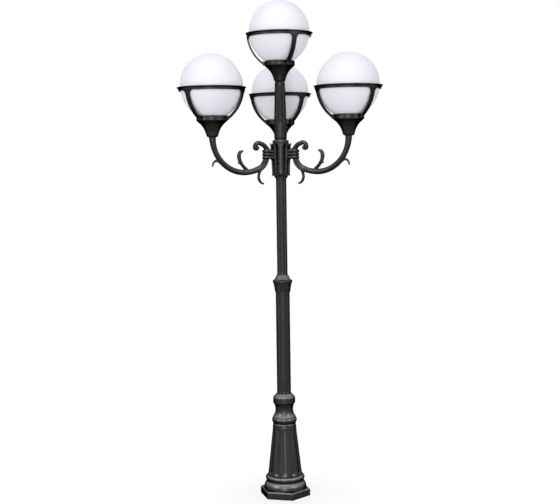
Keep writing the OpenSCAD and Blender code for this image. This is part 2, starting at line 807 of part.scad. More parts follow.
// One rib with its gusset under the ring and its foot on the cup, facing +X
module cage_rib() {
    foot_x = cup_d / 2 + slip_gap;
    foot_z = cup_h - foot_pad_h;
    far = 2 * globe_d;
    sink = 2;
    gusset_low = ring_h - ring_band_h - gusset_r;
    gusset_h = gusset_r + ring_band_h - 1.5 * sink;
    gusset_w = rib_w + 2 * gusset_r;
    intersection() {
        rotate_extrude() {
            difference() {
                translate(rib_centre) circle(rib_inner_r + rib_t);
                translate(rib_centre) circle(rib_inner_r);
                translate([-far, -far]) square([2 * far, far + foot_z]);
                translate([-far, -far]) square([far + foot_x, 2 * far]);
                translate([0, ring_h - sink]) square(far);
            }
            translate([foot_x, foot_z]) square([foot_pad_t, foot_pad_h]);
        }
        rotate([90, 0, 90]) linear_extrude(globe_d) {
            translate([-rib_w / 2, 0]) square([rib_w, ring_h]);
            difference() {
                translate([-gusset_w / 2, gusset_low]) square([gusset_w, gusset_h]);
                for (side = [-1, 1]) translate([side * gusset_w / 2, gusset_low]) circle(gusset_r);
            }
        }
    }
}

module cage(i) color(paint) at_lantern(i) rotate([0, 0, cage_turns[i]]) {
    ring_low = ring_h - ring_band_h;
    band_r = ring_bore_r + ring_band_t;
    flange_r = ring_bore_r + ring_flange;
    flange_t = 3;
    flange_root = [band_r + 1, ring_h - 8];
    head_x = cup_d / 2 + slip_gap + foot_pad_t;
    difference() {
        union() {
            rotate_extrude()
                polygon([[ring_bore_r, ring_low], [band_r, ring_low], flange_root,
                         [flange_r, ring_h - flange_t], [flange_r, ring_h], [ring_bore_r, ring_h]]);
            for (a = thirds) rotate([0, 0, a]) cage_rib();
        }
        for (a = thirds) rotate([0, 0, a]) translate([0, 0, cage_screw_z]) {
            spoke(cup_d / 2 - cut, cup_d, cage_screw_d / 2 + screw_gap);
            spoke(head_x, cup_d, cage_head_d / 2 + screw_gap);
        }
    }
}

module cage_screws() color(steel) {
    head_x = cup_d / 2 + slip_gap + foot_pad_t;
    for (i = lanterns, a = thirds)
        at_lantern(i) rotate([0, 0, cage_turns[i] + a]) translate([0, 0, cage_screw_z]) {
            spoke(head_x - cage_screw_l, head_x + cage_head_h, cage_screw_d / 2);
            spoke(head_x, head_x + cage_head_h, cage_head_d / 2);
        }
}

module nipples() color(steel) {
    for (i = lanterns)
        at_lantern(i) translate([0, 0, -nipple_depth]) difference() {
            cylinder(d = nipple_d, h = nipple_depth + holder_h + holder_thread_h);
            translate([0, 0, -cut])
                cylinder(d = nipple_d - 2 * nipple_wall, h = nipple_depth + holder_top);
        }
}

module cup_nuts() color(steel) {
    for (i = lanterns)
        at_lantern(i) translate([0, 0, floor_h]) difference() {
            hex_prism(nut_flat / 2, nut_h);
            translate([0, 0, -cut]) cylinder(d = nipple_d + 2 * screw_gap, h = nut_h + 2 * cut);
        }
}

module gasket(i) color(rubber) at_lantern(i) translate([0, 0, gallery_h]) rotate_extrude() {
    seat_r = globe_neck_d / 2 - gasket_lap;
    rim_r = globe_neck_d / 2 + free_gap;
    polygon([[seat_r, 0], [gallery_r, 0], [gallery_r, gasket_rim_h], [rim_r, gasket_rim_h],
             [rim_r, gasket_t], [seat_r, gasket_t]]);
}

// Half section of the globe, drawn in by an inset: a round top on a fuller base with a neck
module globe_half(inset, neck_low) {
    far = globe_d;
    base_z = globe_base[1] + inset;
    lean_r = lean_radius([globe_d / 2, globe_h], globe_base);
    intersection() {
        translate([0, globe_h]) circle(globe_d / 2 - inset);
        translate([0, globe_h]) square(far);
    }
    intersection() {
        translate([globe_d / 2 - lean_r, globe_h]) circle(lean_r - inset);
        translate([0, base_z]) square([far, globe_h - base_z]);
    }
    translate([0, neck_low]) square([globe_neck_d / 2 - inset, globe_h - neck_low]);
}

module globe(i) color(opal) at_lantern(i) {
    neck_low = gallery_h + gasket_t;
    rotate_extrude() difference() {
        globe_half(0, neck_low);
        globe_half(globe_wall, neck_low - cut);
    }
}

module lampholder(i) color(porcelain) at_lantern(i) translate([0, 0, holder_h]) difference() {
    lead_room = 2;
    cylinder(d = holder_d, h = holder_top - holder_h);
    translate([0, 0, holder_seat - holder_h]) cylinder(d = cap_d + 2 * free_gap, h = holder_top);
    translate([0, 0, -cut]) cylinder(d = nipple_d + 2 * screw_gap, h = holder_thread_h + cut);
    cylinder(d = lead_d + lead_room, h = holder_thread_h + wire_room_h);
}

module bulb_cap(i) color(brass) at_lantern(i) {
    shell_z = holder_seat + contact_h;
    translate([0, 0, holder_seat]) cylinder(d = contact_d, h = contact_h + cut);
    translate([0, 0, shell_z]) cylinder(d = cap_d, h = bulb_neck_h - shell_z);
}

// Half outline of a bulb, set in from its outside
module bulb_half(inset) {
    shoulder = [0.43 * bulb_d - inset, bulb_h - bulb_d / 4];
    intersection() {
        translate([0, bulb_h]) circle(bulb_d / 2 - inset);
        square([bulb_d, 2 * bulb_h]);
    }
    polygon([[0, bulb_neck_h - inset], [cap_d / 2 - inset, bulb_neck_h - inset], shoulder, [0, bulb_h]]);
}

module bulb_glass(i) color(opal) at_lantern(i) rotate_extrude() difference() {
    glass_t = 1;
    bulb_half(0);
    bulb_half(glass_t);
}

module lead(i) color(rubber) {
    lead_r = lead_d / 2;
    wire_top = holder_h + holder_thread_h + wire_room_h;
    if (i == top) {
        from = cavity_z + junction_h;
        translate([0, 0, from]) cylinder(r = lead_r, h = stem_top_z + wire_top - from);
    } else {
        tip = outer_centre + [arm_outer_r, 0];
        at_arm(arm_dir(i)) {
            wire_run(lead_r, junction_flat_r);
            knuckle(tip, lead_r);
            bar(tip + [0, knuckle_share * lead_r], tip + [0, wire_top], lead_r);
        }
    }
}

foot();
base_screws();
pedestal();
supply_terminal();
neck();
lower_pole();
pole_collar();
upper_pole();
hub();
arm_nuts();
junction_block();
crown();
stem();
section_screws();
riser_cable();
arm(rear_dir);  // arm_rear
arm(left_dir);  // arm_left
arm(right_dir);  // arm_right
cup(top);  // cup_top
cup(rear);  // cup_rear
cup(left);  // cup_left
cup(right);  // cup_right
cage(top);  // cage_top
cage(rear);  // cage_rear
cage(left);  // cage_left
cage(right);  // cage_right
cage_screws();
nipples();
cup_nuts();
gasket(top);  // gasket_top
gasket(rear);  // gasket_rear
gasket(left);  // gasket_left
gasket(right);  // gasket_right
globe(top);  // globe_top
globe(rear);  // globe_rear
globe(left);  // globe_left
globe(right);  // globe_right
lampholder(top);  // lampholder_top
lampholder(rear);  // lampholder_rear
lampholder(left);  // lampholder_left
lampholder(right);  // lampholder_right
bulb_cap(top);  // bulb_cap_top
bulb_cap(rear);  // bulb_cap_rear
bulb_cap(left);  // bulb_cap_left
bulb_cap(right);  // bulb_cap_right
bulb_glass(top);  // bulb_glass_top
bulb_glass(rear);  // bulb_glass_rear
bulb_glass(left);  // bulb_glass_left
bulb_glass(right);  // bulb_glass_right
lead(top);  // lead_top
lead(rear);  // lead_rear
lead(left);  // lead_left
lead(right);  // lead_right
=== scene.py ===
"""Looks of a street lamp with opal globes on scroll arms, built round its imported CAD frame."""
import json
import math

import bmesh
import bpy
from mathutils import Matrix, Vector


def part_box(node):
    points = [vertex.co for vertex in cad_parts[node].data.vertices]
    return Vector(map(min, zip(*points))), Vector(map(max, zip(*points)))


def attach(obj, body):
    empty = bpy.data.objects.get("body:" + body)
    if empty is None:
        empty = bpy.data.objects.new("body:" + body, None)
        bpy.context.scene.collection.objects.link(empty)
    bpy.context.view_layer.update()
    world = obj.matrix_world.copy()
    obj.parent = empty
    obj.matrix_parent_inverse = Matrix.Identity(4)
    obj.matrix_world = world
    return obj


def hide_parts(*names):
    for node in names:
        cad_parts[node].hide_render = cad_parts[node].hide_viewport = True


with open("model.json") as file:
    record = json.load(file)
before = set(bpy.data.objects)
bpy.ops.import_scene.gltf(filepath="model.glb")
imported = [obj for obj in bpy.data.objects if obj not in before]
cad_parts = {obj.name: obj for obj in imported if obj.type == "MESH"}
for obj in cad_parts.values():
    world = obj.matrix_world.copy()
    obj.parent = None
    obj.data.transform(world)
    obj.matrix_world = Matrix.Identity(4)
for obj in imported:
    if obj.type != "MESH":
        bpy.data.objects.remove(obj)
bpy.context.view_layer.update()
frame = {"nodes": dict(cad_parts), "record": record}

# Camera: a standing viewer's eye, looking slightly down
EYE = Vector((0.0, -5.5, 1.6585))
PITCH = math.radians(-4.486)
YAW = math.radians(0.11)
ROLL = math.radians(-0.8)
SENSOR = 36.0
LENS = 71.3

# Heights that the CAD frame gives: arm seats, arm tips, and the hub's bottom and top
SEAT_Z = sum(corner.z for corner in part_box("arm_nuts")) / 2
TIP_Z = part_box("cup_rear")[0].z
HUB_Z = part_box("hub")[0].z
CROWN_SPIGOT = 0.014
CROWN_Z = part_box("crown")[0].z + CROWN_SPIGOT

# Arm, in metres: its plane holds the post's axis, and heights are above the arm seat
ARM_DIRS = {"arm_rear": 90, "arm_left": 210, "arm_right": 330}
ARM_REACH = 0.375
ARM_LOW = 0.205
ARM_SEAT_R = 0.048
OUTER_R = ARM_REACH - ARM_LOW
MID_R = 0.2
MID_TURN = 25
INNER_R = 0.066
ARM_TIP = TIP_Z - SEAT_Z
ARM_BOTTOM = ARM_TIP - OUTER_R
ARM_BAR = [(0, 0.0168, 0.0168), (0.05, 0.0152, 0.0152), (0.13, 0.0136, 0.0136),
           (0.5, 0.0138, 0.0138), (1, 0.0138, 0.0138)]

# Ridges along the arm's bar near its root: where they start and how far they run, as shares
RIDGE_FROM = 0.66
RIDGE_SPAN = 0.34
RIDGE_COUNT = 9
RIDGE_DEPTH = 0.15

# Root barrel of an arm, and the beads round it
BARREL_X = 0.079
BARREL_H = 0.047
BARREL_R = 0.016
BARREL_EASE = 0.003
BEAD_R = 0.0078
BEAD_X = 0.0155

# Scroll over the root: centre and radius of its curl, radius of its eye, and the ball in it
CURL = Vector((0.1245, 0.0345))
CURL_R = 0.022
CURL_EYE_R = 0.0098
CURL_BALL_R = 0.0078
SCROLL_FOOT = [(0.07, 0.016), (0.096, 0.045)]
SCROLL_BAR = [(0, 0.0125, 0.012), (0.5, 0.0095, 0.011), (0.75, 0.0072, 0.01), (1, 0.0052, 0.008)]

# Leaf, barb, tendril and thorn of an arm: distance from the post and height above the arm's
# lowest line, then half width and half depth at shares of the way
ARM_SPRIGS = {
    "leaf": ([(0.172, -0.004), (0.203, 0.022), (0.226, 0.05), (0.2335, 0.078), (0.227, 0.097),
              (0.209, 0.105)],
             [(0, 0.009, 0.009), (0.3, 0.0082, 0.008), (0.62, 0.0106, 0.0085),
              (0.85, 0.0082, 0.0075), (1, 0.003, 0.0035)]),
    "barb": ([(0.239, 0.041), (0.233, 0.049), (0.2285, 0.06)],
             [(0, 0.0025, 0.003), (0.6, 0.006, 0.006), (1, 0.006, 0.006)]),
    "tendril": ([(0.098, -0.058), (0.117, -0.048), (0.1265, -0.026), (0.122, -0.002),
                 (0.11, 0.018)],
                [(0, 0.0042, 0.0045), (0.35, 0.0068, 0.007), (0.7, 0.0072, 0.0075),
                 (1, 0.0068, 0.0075)]),
    "thorn": ([(0.378, 0.03), (0.37, 0.051), (0.352, 0.058), (0.333, 0.047)],
              [(0, 0.0035, 0.004), (0.45, 0.0058, 0.006), (1, 0.0068, 0.0075)]),
}

# Hub: heights are above its bottom. The core carries the veins, the skin the rib and leaf edges
HUB_TOP = CROWN_Z - HUB_Z
HUB_SEAT = SEAT_Z - HUB_Z
HUB_CORE = [(0.0315, 0.0), (0.0315, 0.005), (0.0375, 0.014), (0.0355, 0.034), (0.036, 0.06),
            (0.0365, HUB_TOP - 0.03), (0.04, HUB_TOP - 0.008), (0.039, HUB_TOP)]
HUB_SKIN = [(0.039, 0.0), (0.0405, 0.016), (0.04, 0.06), (0.0435, HUB_TOP - 0.03),
            (0.045, HUB_TOP)]
SEAT_BLOCK_IN = 0.02
SEAT_BLOCK_WIDE = 0.02
SEAT_BLOCK_HIGH = 0.026
RIB_BAR = [(0, 0.0125, 0.009), (0.06, 0.0152, 0.0122), (0.94, 0.0158, 0.0125), (1, 0.0135, 0.0095)]
RIB_SINK = -0.0085
EDGE_AT = 39
EDGE_R = 0.0068
LOBE_AT = 40
LOBE_R = 0.0065
VEINS = 5
VEIN_AT = 22
VEIN_LOW = 0.026
VEIN_PITCH = 0.025
VEIN_RISE = 0.026
VEIN_LIFT = 0.0006
VEIN_R = 0.0023

# Castings: the grain at which shapes are fused, and how often their corners are softened
CAST_VOXEL = 0.0011
CAST_SOFTEN = 4

# Heights on the post between which the low ramp of painted light from above gives way to the high
# one
PAINTED_LIGHT_LOW_TOP = 1.15
PAINTED_LIGHT_HIGH_FROM = 1.5

# Lamps: place, target, width and height, and power in watts
LAMPS = {
    "front": ((-0.6, -6.4, 2.2), (0, 0, 1.5), (1.8, 2.8), 84),
    "low": ((-0.5, -6.2, 0.36), (0, 0, 0.7), (2.0, 0.7), 40),
    "left": ((-4.0, -3.0, 3.0), (0, 0, 2.0), (1.6, 2.4), 58),
    "right": ((4.0, -3.0, 3.0), (0, 0, 2.0), (1.6, 2.4), 48),
    "top": ((0.0, -1.6, 5.8), (0, 0, 1.0), (2.4, 1.4), 50),
    "back": ((0.0, 6.2, 3.0), (0, 0, 1.6), (4.0, 3.0), 170),
}
WHITE = (1, 1, 1, 1)
SKY_FROM = -0.5
SKY_LOW = 0.3
SKY_HIGH = 0.44

# Floor: half its side, its gap below the foot, and the ring in which its shade fades to white
FLOOR_HALF = 6.0
FLOOR_GAP = 0.0005
FLOOR_GREY = (0.6, 0.6, 0.6, 1)
SHADE_IN = 0.14
SHADE_OUT = 0.4
SHADE_WHITE = 0.86


def arc(centre, radius, start, stop, count):
    """Points on a circle in an arm's plane between two angles in degrees."""
    angles = [math.radians(start + (stop - start) * i / count) for i in range(count + 1)]
    x, z = centre
    return [Vector((x + radius * math.cos(a), 0.0, z + radius * math.sin(a))) for a in angles]


def smooth(points, count=8):
    """A curve through points given as distance from the post and height, in an arm's plane."""
    before = 2 * Vector(points[0]) - Vector(points[1])
    after = 2 * Vector(points[-1]) - Vector(points[-2])
    knots = [before] + [Vector(p) for p in points] + [after]
    path = []
    for a, b, c, d in zip(knots, knots[1:], knots[2:], knots[3:]):
        for i in range(count):
            t = i / count
            p = (b + (c - a) * (t / 2)
                 + (2 * a - 5 * b + 4 * c - d) * (t * t / 2)
                 + (3 * b - a - 3 * c + d) * (t ** 3 / 2))
            path.append(Vector((p.x, 0.0, p.y)))
    path.append(Vector((points[-1][0], 0.0, points[-1][1])))
    return path


def taper(points):
    """A size that runs through (share, half width, half depth) points."""
    def size(share):
        for (s0, w0, d0), (s1, w1, d1) in zip(points, points[1:]):
            if share <= s1:
                t = (share - s0) / (s1 - s0)
                return w0 + (w1 - w0) * t, d0 + (d1 - d0) * t
        return points[-1][1:]
    return size


def along(profile, height):
    """Radius of a profile at a height."""
    for (r0, z0), (r1, z1) in zip(profile, profile[1:]):
        if z0 <= height <= z1:
            return r0 + (r1 - r0) * (height - z0) / max(z1 - z0, 1e-9)
    return profile[-1][0]


def on(profile, degrees, height, lift):
    """A point at a height on a turned profile, lifted off it."""
    a = math.radians(degrees)
    r = along(profile, height) + lift
    return Vector((r * math.cos(a), r * math.sin(a), height))


def heading(path, i):
    """Direction of a path at one of its points."""
    return (path[min(i + 1, len(path) - 1)] - path[max(i - 1, 0)]).normalized()


def turns(sides):
    """Angles of the points of a ring."""
    return [2 * math.pi * k / sides for k in range(sides)]


def sweep(path, size, sides=28, ripple=None):
    """Rings round a path in the XZ plane. size gives half width and depth, ripple a share more."""
    rings = []
    for i, place in enumerate(path):
        ahead = heading(path, i)
        out = Vector((ahead.z, 0.0, -ahead.x))
        share = i / (len(path) - 1)
        width, depth = size(share)
        ring = []
        for angle in turns(sides):
            swell = 1 + (ripple(share, angle) if ripple else 0.0)
            across = Vector((0.0, depth * swell * math.sin(angle), 0.0))
            ring.append(place + out * (width * swell * math.cos(angle)) + across)
        rings.append(ring)
    return rings


def band(path, radius, sides=20):
    """Rings of a round bar along a level path."""
    rings = []
    for i, place in enumerate(path):
        ahead = heading(path, i)
        out = Vector((ahead.y, -ahead.x, 0.0))
        rings.append([place + out * (radius * math.cos(a)) + Vector((0, 0, radius * math.sin(a)))
                      for a in turns(sides)])
    return rings


def bar(path, size, sides=16):
    """Rings of a tapering round bar along any path. size gives its radius at a share of the way."""
    rings = []
    for i, place in enumerate(path):
        ahead = heading(path, i)
        aside = ahead.cross(Vector((0.3, 0.5, 0.81))).normalized()
        out = aside.cross(ahead)
        radius = size(i / (len(path) - 1))
        rings.append([place + (aside * math.cos(a) + out * math.sin(a)) * radius
                      for a in turns(sides)])
    return rings


def strap(path, out, size, sides=48, square=2.7):
    """Rings of an upright bar with a flattened front that looks along out.

    size gives half width and half depth at a share of the way.
    """
    across = Vector((-out.y, out.x, 0.0))
    rings = []
    for i, place in enumerate(path):
        width, depth = size(i / (len(path) - 1))
        ring = []
        for a in turns(sides):
            aside = math.copysign(abs(math.cos(a)) ** (2 / square), math.cos(a))
            ahead = math.copysign(abs(math.sin(a)) ** (2 / square), math.sin(a))
            ring.append(place + across * (width * aside) + out * (depth * ahead))
        rings.append(ring)
    return rings


def lathe(profile, centre=(0.0, 0.0), sides=64):
    """Rings round an upright axis from points of radius and height."""
    x, y = centre
    return [[Vector((x + r * math.cos(a), y + r * math.sin(a), z)) for a in turns(sides)]
            for r, z in profile]


def ball(place, radius, rows=14):
    """Rings of a ball."""
    x, y, z = place
    angles = [math.pi * (i + 0.5) / rows for i in range(rows)]
    profile = [(radius * math.sin(a), z - radius * math.cos(a)) for a in angles]
    return lathe(profile, (x, y), 28)


def block(low, high):
    """Rings of an upright block."""
    (x0, y0, z0), (x1, y1, z1) = low, high
    return [[Vector(p) for p in ((x0, y0, z), (x1, y0, z), (x1, y1, z), (x0, y1, z))]
            for z in (z0, z1)]


def turned(rings, degrees):
    """Rings turned about the post's axis."""
    spin = Matrix.Rotation(math.radians(degrees), 3, "Z")
    return [[spin @ p for p in ring] for ring in rings]


def cast(name, shapes, voxel):
    """One casting fused from overlapping shapes, with the soft inner corners of sand castings."""
    raw = bmesh.new()
    for rings in shapes:
        rows = [[raw.verts.new(p) for p in ring] for ring in rings]
        count = len(rows[0])
        faces = [raw.faces.new(list(reversed(rows[0]))), raw.faces.new(rows[-1])]
        for a, b in zip(rows, rows[1:]):
            for i in range(count):
                j = (i + 1) % count
                faces.append(raw.faces.new((a[i], a[j], b[j], b[i])))
        bmesh.ops.recalc_face_normals(raw, faces=faces)
    mesh = bpy.data.meshes.new(name)
    raw.to_mesh(mesh)
    raw.free()
    piece = bpy.data.objects.new(name, mesh)
    bpy.context.scene.collection.objects.link(piece)
    remesh = piece.modifiers.new("fuse", "REMESH")
    remesh.mode = "VOXEL"
    remesh.voxel_size = voxel
    soften = piece.modifiers.new("soften", "SMOOTH")
    soften.factor = 0.5
    soften.iterations = CAST_SOFTEN
    bpy.context.view_layer.update()
    ready = piece.evaluated_get(bpy.context.evaluated_depsgraph_get())
    fused = bpy.data.meshes.new_from_object(ready)
    piece.modifiers.clear()
    piece.data = fused
    fused.name = name
    bpy.data.meshes.remove(mesh)
    fused.polygons.foreach_set("use_smooth", [True] * len(fused.polygons))
    return piece


def arm_bar():
    """The arm's bar, from its tip down and round to its ridged root."""
    mid_end = -90 - MID_TURN
    mid_centre = (ARM_LOW, ARM_BOTTOM + MID_R)
    knee = arc(mid_centre, MID_R, mid_end, mid_end, 1)[0]
    away = (knee - Vector((mid_centre[0], 0, mid_centre[1]))) / MID_R
    inner = knee - away * INNER_R
    run = arc((ARM_LOW, ARM_TIP), OUTER_R, 0, -90, 48)
    run += arc(mid_centre, MID_R, -90, mid_end, 20)[1:]
    run += arc((inner.x, inner.z), INNER_R, mid_end, -180, 20)[1:]
    run.append(run[-1] + Vector((0, 0, 0.008)))

    def ridges(share, angle):
        near_root = max(0.0, (share - RIDGE_FROM) / RIDGE_SPAN)
        return RIDGE_DEPTH * min(1.0, 2.5 * near_root) * math.cos(RIDGE_COUNT * angle)

    return [sweep(run, taper(ARM_BAR), 80, ridges)]


def arm_root():
    """The root barrel, with three beads that run round its end."""
    half = BARREL_H / 2 - BARREL_EASE
    shapes = [block((ARM_SEAT_R, -BARREL_R, -half), (BARREL_X, BARREL_R, half)),
              lathe([(BARREL_R, -half), (BARREL_R, half)], (BARREL_X, 0))]
    pitch = (BARREL_H - 2 * BEAD_R) / 2
    for z in (-pitch, 0.0, pitch):
        bend = [Vector((BARREL_X + BEAD_X * math.sin(a), -BEAD_X * math.cos(a), z))
                for a in (math.pi * i / 16 for i in range(17))]
        ends = [Vector((ARM_SEAT_R, y, z)) for y in (-BEAD_X, BEAD_X)]
        shapes.append(band(ends[:1] + bend + ends[1:], BEAD_R))
    return shapes


def arm_scroll():
    """The scroll over the root, which curls in round a ball."""
    eye = CURL + Vector((CURL_R - CURL_EYE_R, 0.0))
    rise = smooth(SCROLL_FOOT + [CURL + Vector((0.0, CURL_R))])
    line = rise + arc(CURL, CURL_R, 90, 0, 20)[1:] + arc(eye, CURL_EYE_R, 0, -200, 24)[1:]
    return [sweep(line, taper(SCROLL_BAR)),
            ball((eye.x - 0.005, 0, eye.y + 0.001), CURL_BALL_R)]


def arm_shapes():
    """Shapes of one arm in the XZ plane, with heights above its seat."""
    shapes = arm_bar() + arm_root() + arm_scroll()
    for points, sizes in ARM_SPRIGS.values():
        shapes.append(sweep(smooth([(x, ARM_BOTTOM + z) for x, z in points]), taper(sizes)))
    return shapes


def half_leaf(rib, side):
    """Shapes of half a leaf beside its rib: its raised edge, a lobe and the veins."""
    edge = []
    for i in range(29):
        share = i / 28
        end = abs(2 * share - 1)
        height = 0.01 + (HUB_TOP - 0.016) * share
        lift = 0.0075 * end ** 8 - 0.003 + 0.004 * min(1.0, 1.6 * share)
        edge.append(on(HUB_SKIN, rib + side * (EDGE_AT + 3 * end ** 4), height, lift))
    shapes = [bar(edge, lambda share: EDGE_R * (1 - 0.68 * abs(2 * share - 1) ** 6))]

    lobe = []
    for i in range(7):
        height = HUB_TOP - 0.058 + 0.03 * i / 6
        lift = 0.007 * (i / 6) ** 2 - 0.002
        lobe.append(on(HUB_SKIN, rib + side * (LOBE_AT + 11 * i / 6), height, lift))
    shapes.append(bar(lobe, lambda share: LOBE_R * (1 - 0.7 * share)))

    for step in range(VEINS):
        low = VEIN_LOW + VEIN_PITCH * step
        vein = []
        for i in range(9):
            height = low + VEIN_RISE * (i / 8) ** 1.3
            vein.append(on(HUB_CORE, rib + side * (VEIN_AT + 17 * i / 8), height, VEIN_LIFT))
        shapes.append(bar(vein, lambda share: VEIN_R * (1 - 0.4 * share), 12))
    return shapes


def hub_shapes():
    """Shapes of the hub: its core, a seat for each arm, and a ribbed leaf opposite each seat."""
    shapes = [lathe(HUB_CORE)]
    for arm in ARM_DIRS.values():
        seat = block((SEAT_BLOCK_IN, -SEAT_BLOCK_WIDE, HUB_SEAT - SEAT_BLOCK_HIGH),
                     (ARM_SEAT_R, SEAT_BLOCK_WIDE, HUB_SEAT + SEAT_BLOCK_HIGH))
        shapes.append(turned(seat, arm))
        rib = arm + 180
        out = Vector((math.cos(math.radians(rib)), math.sin(math.radians(rib)), 0.0))
        stem = [on(HUB_SKIN, rib, 0.012 + (HUB_TOP - 0.019) * i / 20, RIB_SINK) for i in range(21)]
        shapes.append(strap(stem, out, taper(RIB_BAR)))
        for side in (-1, 1):
            shapes += half_leaf(rib, side)
    return shapes


def add_hub(paint):
    """The hub's casting in place of its CAD node."""
    piece = cast("hub_casting", hub_shapes(), CAST_VOXEL)
    piece.data.materials.append(paint)
    piece.location.z = HUB_Z
    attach(piece, "post")
    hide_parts("hub")


def add_arms(paint):
    """One arm casting, set round the post in place of each CAD arm."""
    first = None
    for node, degrees in ARM_DIRS.items():
        if first is None:
            piece = first = cast(node + "_casting", arm_shapes(), CAST_VOXEL)
            piece.data.materials.append(paint)
        else:
            piece = bpy.data.objects.new(node + "_casting", first.data)
            bpy.context.scene.collection.objects.link(piece)
        spin = Matrix.Rotation(math.radians(degrees), 4, "Z")
        piece.matrix_world = Matrix.Translation((0, 0, SEAT_Z)) @ spin
        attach(piece, "post")
        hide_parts(node)


def add_camera():
    """The camera at the eye's place."""
    data = bpy.data.cameras.new("camera")
    data.sensor_width = SENSOR
    data.lens = LENS
    camera = bpy.data.objects.new("camera", data)
    bpy.context.scene.collection.objects.link(camera)
    turn = Matrix.Rotation(YAW, 4, "Z") @ Matrix.Rotation(math.pi / 2 + PITCH, 4, "X")
    camera.matrix_world = Matrix.Translation(EYE) @ turn @ Matrix.Rotation(ROLL, 4, "Z")
    bpy.context.scene.camera = camera


def map_range(tree, value, low, high, to_low, to_high):
    """A value in a node tree, brought from one range to another."""
    node = tree.nodes.new("ShaderNodeMapRange")
    names = ("From Min", "From Max", "To Min", "To Max")
    for name, number in zip(names, (low, high, to_low, to_high)):
        node.inputs[name].default_value = number
    tree.links.new(value, node.inputs["Value"])
    return node.outputs["Result"]


class Nodes:
    """A material's node tree, with short calls to add and link nodes."""

    def __init__(self, name):
        self.material = bpy.data.materials.new(name)
        self.material.use_nodes = True
        self.tree = self.material.node_tree
        self.shader = self.tree.nodes["Principled BSDF"]
        self.output = self.tree.nodes["Material Output"]
        self.place = self.add("ShaderNodeTexCoord").outputs["Object"]

    def add(self, kind, **settings):
        node = self.tree.nodes.new(kind)
        for name, value in settings.items():
            setattr(node, name, value)
        return node

    def link(self, a, b):
        self.tree.links.new(a, b)

    def noise(self, scale, detail=4.0, rough=0.55):
        node = self.add("ShaderNodeTexNoise")
        node.inputs["Scale"].default_value = scale
        node.inputs["Detail"].default_value = detail
        node.inputs["Roughness"].default_value = rough
        self.link(self.place, node.inputs["Vector"])
        return node.outputs["Fac"]

    def ramp(self, value, stops):
        node = self.add("ShaderNodeValToRGB")
        while len(node.color_ramp.elements) < len(stops):
            node.color_ramp.elements.new(0.5)
        for element, (at, colour) in zip(node.color_ramp.elements, stops):
            element.position = at
            element.color = (*colour, 1.0)
        self.link(value, node.inputs["Fac"])
        return node.outputs["Color"]

    def spread(self, value, low, high, to_low, to_high):
        return map_range(self.tree, value, low, high, to_low, to_high)

    def times(self, first, second):
        node = self.add("ShaderNodeMix", data_type="RGBA", blend_type="MULTIPLY")
        node.inputs["Factor"].default_value = 1.0
        self.link(first, node.inputs[6])
        self.link(second, node.inputs[7])
        return node.outputs[2]

    def bump(self, height, distance, strength=1.0):
        node = self.add("ShaderNodeBump")
        node.inputs["Distance"].default_value = distance
        node.inputs["Strength"].default_value = strength
        self.link(height, node.inputs["Height"])
        self.link(node.outputs["Normal"], self.shader.inputs["Normal"])

    def set(self, **values):
        for name, value in values.items():
            self.shader.inputs[name.replace("_", " ")].default_value = value

    def colour(self, source):
        self.link(source, self.shader.inputs["Base Color"])

    def rough(self, source):
        self.link(source, self.shader.inputs["Roughness"])


def black_paint():
    """Satin black paint: painted light where it looks up, ramped by height, and painted shade in
    its corners.
    """
    n = Nodes("black_paint")
    surface = n.add("ShaderNodeNewGeometry")
    normal = n.add("ShaderNodeSeparateXYZ")
    n.link(surface.outputs["Normal"], normal.inputs["Vector"])
    place = n.add("ShaderNodeSeparateXYZ")
    n.link(surface.outputs["Position"], place.inputs["Vector"])
    # Painted light: the base colour grows lighter the more a surface looks up, standing in for
    # light and highlights from above
    up = n.spread(normal.outputs["Z"], -1.0, 1.0, 0.0, 1.0)
    painted_light_low = n.ramp(up, [(0.0, (0.008, 0.008, 0.0078)), (0.3, (0.018, 0.018, 0.0175)),
                        (0.5, (0.037, 0.037, 0.036)), (0.62, (0.056, 0.056, 0.0545)),
                        (0.78, (0.225, 0.225, 0.2185))])
    painted_light_high = n.ramp(up, [(0.0, (0.007, 0.007, 0.0068)), (0.3, (0.024, 0.024, 0.0233)),
                           (0.5, (0.037, 0.037, 0.036)), (0.66, (0.08, 0.08, 0.0777)),
                           (0.95, (0.2, 0.2, 0.194))])
    # Painted light: one ramp holds low on the post and the other high up, blended between the two
    # heights
    painted_light = n.add("ShaderNodeMix", data_type="RGBA")
    n.link(n.spread(place.outputs["Z"], PAINTED_LIGHT_LOW_TOP, PAINTED_LIGHT_HIGH_FROM, 0.0, 1.0), painted_light.inputs["Factor"])
    n.link(painted_light_low, painted_light.inputs[6])
    n.link(painted_light_high, painted_light.inputs[7])
    # Painted shade: ambient occlusion darkens the colour in corners and recesses
    corners = n.add("ShaderNodeAmbientOcclusion", samples=8)
    corners.inputs["Distance"].default_value = 0.02
    painted_corner_shade = n.ramp(corners.outputs["AO"], [(0.3, (0.25, 0.25, 0.25)), (0.85, (1.0, 1.0, 1.0))])
    mottled = n.ramp(n.noise(75.0, 5.0, 0.7),
                     [(0.36, (0.72, 0.72, 0.72)), (0.64, (1.0, 1.0, 1.0))])
    n.colour(n.times(n.times(painted_light.outputs[2], painted_corner_shade), mottled))
    n.rough(n.spread(n.noise(30.0), 0.3, 0.7, 0.31, 0.38))
    n.set(Metallic=1.0, Specular_Tint=(0.0, 0.0, 0.0, 1.0))
    n.bump(n.noise(170.0, 4.0, 0.65), 0.0004, 0.4)
    return n.material


def opal():
    """White opal plastic."""
    n = Nodes("opal_plastic")
    n.colour(n.ramp(n.noise(3.0), [(0.3, (0.86, 0.85, 0.925)), (0.7, (0.88, 0.87, 0.94))]))
    n.rough(n.spread(n.noise(20.0), 0.3, 0.7, 0.4, 0.48))
    n.set(Specular_IOR_Level=0.3)
    return n.material


